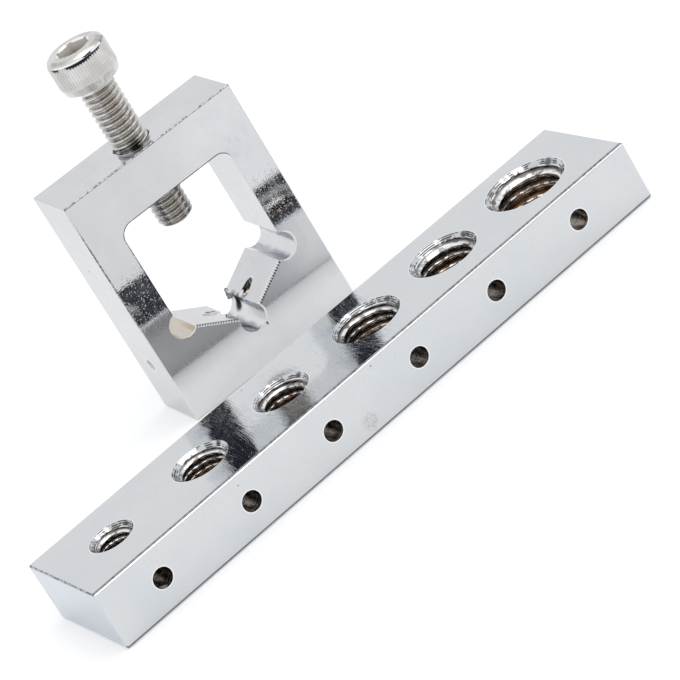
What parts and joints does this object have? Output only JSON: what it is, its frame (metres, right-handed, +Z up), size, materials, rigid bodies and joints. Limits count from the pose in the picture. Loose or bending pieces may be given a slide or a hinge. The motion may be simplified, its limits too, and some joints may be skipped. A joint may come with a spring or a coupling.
{
  "type": "bolt drilling jig",
  "caption": "Plated steel jig for drilling wire holes in bolts: a bar with threaded holes met by drill guide holes, and a window block whose V seat clamps a hexagon head under a socket screw",
  "frame": {"origin": "centre of the set's overall box, on the flat surface that the bar and the block stand on", "axes": "+X along the drill bar from its smallest threaded hole to its largest, +Y from the bar's guide hole face towards the clamp block, +Z up"},
  "size_m": [0.105, 0.0534, 0.0579],
  "materials": {
    "plated_bar": "polished plating",
    "plated_block": "polished plating",
    "screw_steel": "satin"
  },
  "bodies": {
    "bar": {"drill_bar": "plated_bar"},
    "block": {"clamp_block": "plated_block"},
    "screw": {"clamp_screw": "screw_steel"}
  },
  "joints": [
    {"name": "block_lift", "type": "slide", "parent": "bar", "child": "block", "axis": [0, 0, 1], "range_m": [0, 0.06]},
    {"name": "screw_travel", "type": "slide", "parent": "block", "child": "screw", "axis": [0, 0, 1], "range_m": [-0.0113, 0.0064]}
  ]
}
